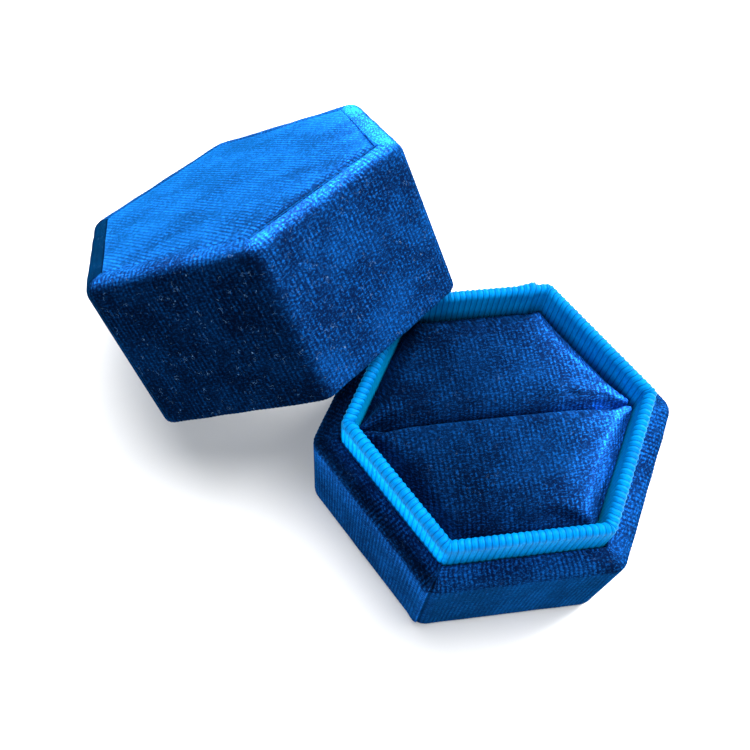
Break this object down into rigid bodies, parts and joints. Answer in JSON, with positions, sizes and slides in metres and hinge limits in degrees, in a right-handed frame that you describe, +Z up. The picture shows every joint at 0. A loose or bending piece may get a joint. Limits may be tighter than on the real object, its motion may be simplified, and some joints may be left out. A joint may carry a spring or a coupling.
{
  "type": "ring box",
  "caption": "Hexagonal ring box in blue velvet: a base with a ribbon-covered neck and a slotted, padded insert, and a loose lid that stands open, leaning on the neck.",
  "frame": {"origin": "middle of the base's underside, on the table", "axes": "+Z up; the ring slot runs along X, from one corner of the hexagon to the opposite one; +Y towards the rear, where the lid leans"},
  "size_m": [0.0899, 0.0858, 0.0519],
  "materials": {
    "velvet": "short-pile stretch velvet, royal blue, with a strong sheen and fine knit ribs",
    "ribbon": "ribbed ribbon, bright light blue, satin sheen, ribs across its length",
    "lining": "thin blue velvet lining",
    "greyboard": "raw grey chipboard",
    "white_card": "smooth white card",
    "foam": "open-cell polyurethane foam",
    "felt": "thin dark felt"
  },
  "bodies": {
    "base": {"base_underside_felt": "felt", "base_velvet_wrap": "velvet", "base_bottom_board": "greyboard", "base_wall_panel_1": "greyboard", "base_wall_panel_2": "greyboard", "base_wall_panel_3": "greyboard", "base_wall_panel_4": "greyboard", "base_wall_panel_5": "greyboard", "base_wall_panel_6": "greyboard", "neck_card_strip": "white_card", "neck_ribbon": "ribbon", "insert_card": "white_card", "front_pad_cover": "velvet", "front_foam": "foam", "rear_pad_cover": "velvet", "rear_foam": "foam"},
    "lid": {"lid_velvet_wrap": "velvet", "lid_top_velvet": "velvet", "lid_top_board": "greyboard", "lid_wall_panel_1": "greyboard", "lid_wall_panel_2": "greyboard", "lid_wall_panel_3": "greyboard", "lid_wall_panel_4": "greyboard", "lid_wall_panel_5": "greyboard", "lid_wall_panel_6": "greyboard", "lid_wall_lining": "lining", "lid_top_padding": "lining"}
  },
  "joints": [
    {"name": "lid_lift", "type": "slide", "parent": "base", "child": "lid", "axis": [0, 0, 1], "range_m": [0, 0.06]}
  ]
}
